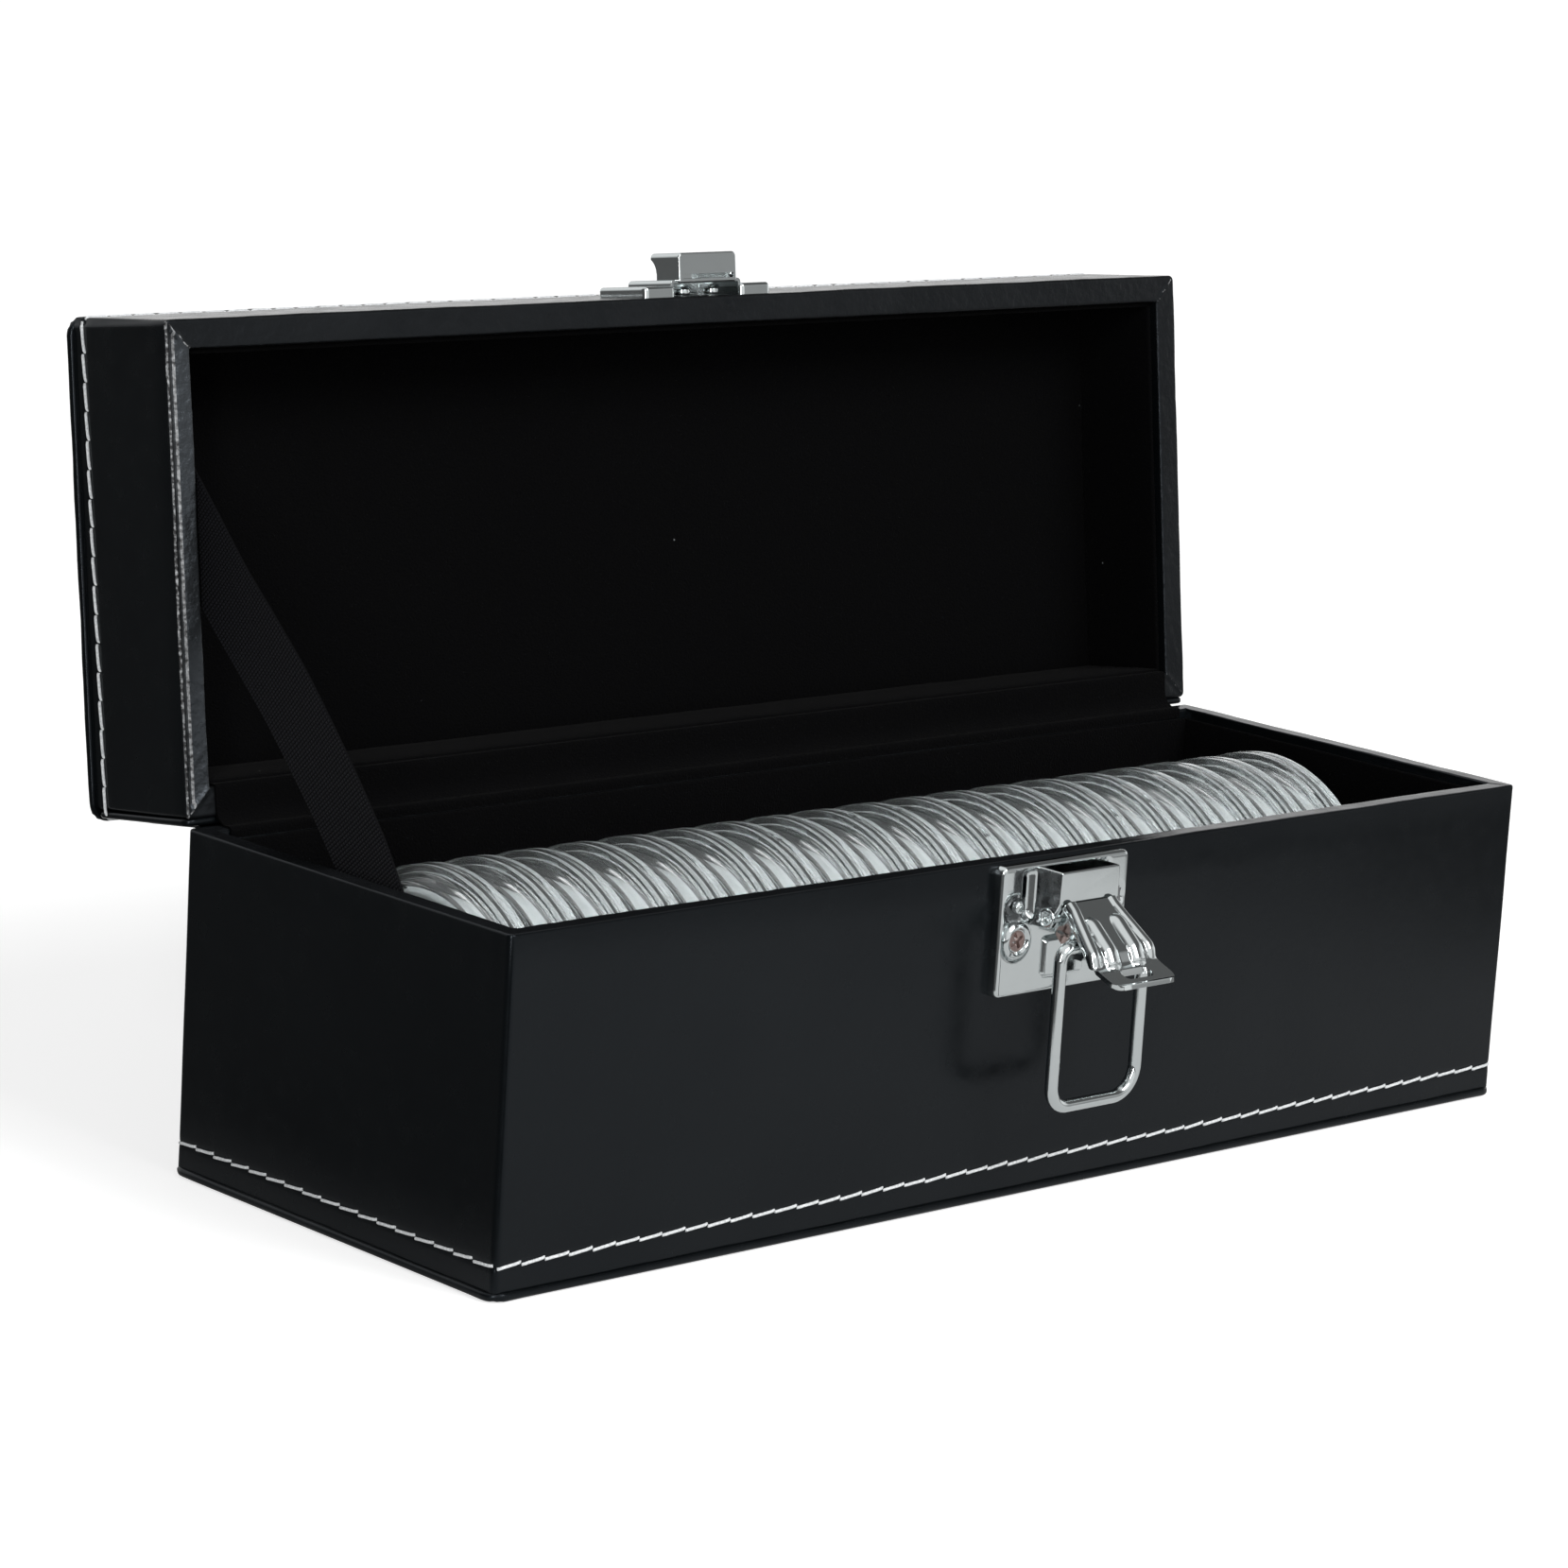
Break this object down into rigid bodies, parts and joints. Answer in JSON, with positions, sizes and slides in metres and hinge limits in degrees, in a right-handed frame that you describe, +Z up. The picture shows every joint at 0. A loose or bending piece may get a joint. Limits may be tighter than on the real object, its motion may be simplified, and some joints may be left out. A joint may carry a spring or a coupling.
{
  "type": "coin display case",
  "caption": "Lidded display case: leather-wrapped, velvet-lined board box with a ribbon lid stay, a toggle latch with bail and hook, and a row of round clear capsules in its tray.",
  "frame": {"origin": "centre of the case's underside, on the surface it stands on", "axes": "+X to the right along the case, -Y to the front with the latch, +Z up"},
  "size_m": [0.2234, 0.1337, 0.1378],
  "materials": {
    "leather": "smooth black leather with a soft gloss and a fine grain",
    "board": "raw grey board",
    "velvet": "short black velvet",
    "ribbon": "plain woven black tape with a slight sheen",
    "chrome": "bright nickel-chrome plate on stamped steel",
    "clear_plastic": "clear polished plastic",
    "foam": "closed-cell white foam"
  },
  "bodies": {
    "base": {"base_bottom_cover": "leather", "base_bottom_board": "board", "base_front_board": "board", "base_back_board": "board", "base_left_board": "board", "base_right_board": "board", "base_leather_wrap": "leather", "base_wall_lining": "velvet", "base_floor_lining": "velvet", "hinge_leather": "leather", "hinge_cloth": "velvet", "lid_stay_ribbon": "ribbon", "latch_plate": "chrome", "latch_bridge": "chrome", "latch_pin": "chrome", "latch_screws": "chrome", "capsule_01": "clear_plastic", "capsule_02": "clear_plastic", "capsule_03": "clear_plastic", "capsule_04": "clear_plastic", "capsule_05": "clear_plastic", "capsule_06": "clear_plastic", "capsule_07": "clear_plastic", "capsule_08": "clear_plastic", "capsule_09": "clear_plastic", "capsule_10": "clear_plastic", "capsule_11": "clear_plastic", "capsule_12": "clear_plastic", "capsule_13": "clear_plastic", "capsule_14": "clear_plastic", "capsule_15": "clear_plastic", "capsule_16": "clear_plastic", "capsule_17": "clear_plastic", "capsule_18": "clear_plastic", "capsule_19": "clear_plastic", "foam_inserts": "foam"},
    "lid": {"lid_top_cover": "leather", "lid_back_cover": "leather", "lid_top_board": "board", "lid_front_board": "board", "lid_back_board": "board", "lid_left_board": "board", "lid_right_board": "board", "lid_leather_wrap": "leather", "lid_wall_lining": "velvet", "lid_top_lining": "velvet", "catch_plate": "chrome", "catch_rivets": "chrome"},
    "lever": {"latch_lever": "chrome"},
    "bail": {"latch_bail": "chrome"}
  },
  "joints": [
    {"name": "lid_hinge", "type": "hinge", "parent": "base", "child": "lid", "pos_m": [0, 0.0385, 0.0546], "axis": [1, 0, 0], "range_deg": [0, 97.8], "deforming": ["lid_stay_ribbon", "hinge_leather", "hinge_cloth"]},
    {"name": "lever_turn", "type": "hinge", "parent": "base", "child": "lever", "pos_m": [0, -0.04325, 0.04585], "axis": [1, 0, 0], "range_deg": [0, 49.3]},
    {"name": "bail_swing", "type": "hinge", "parent": "lever", "child": "bail", "pos_m": [0, -0.0491, 0.0423], "axis": [1, 0, 0], "range_deg": [-229.3, 0]}
  ],
  "couplings": [
    {"joint": "bail_swing", "follows": "lever_turn", "ratio": -4.651}
  ]
}
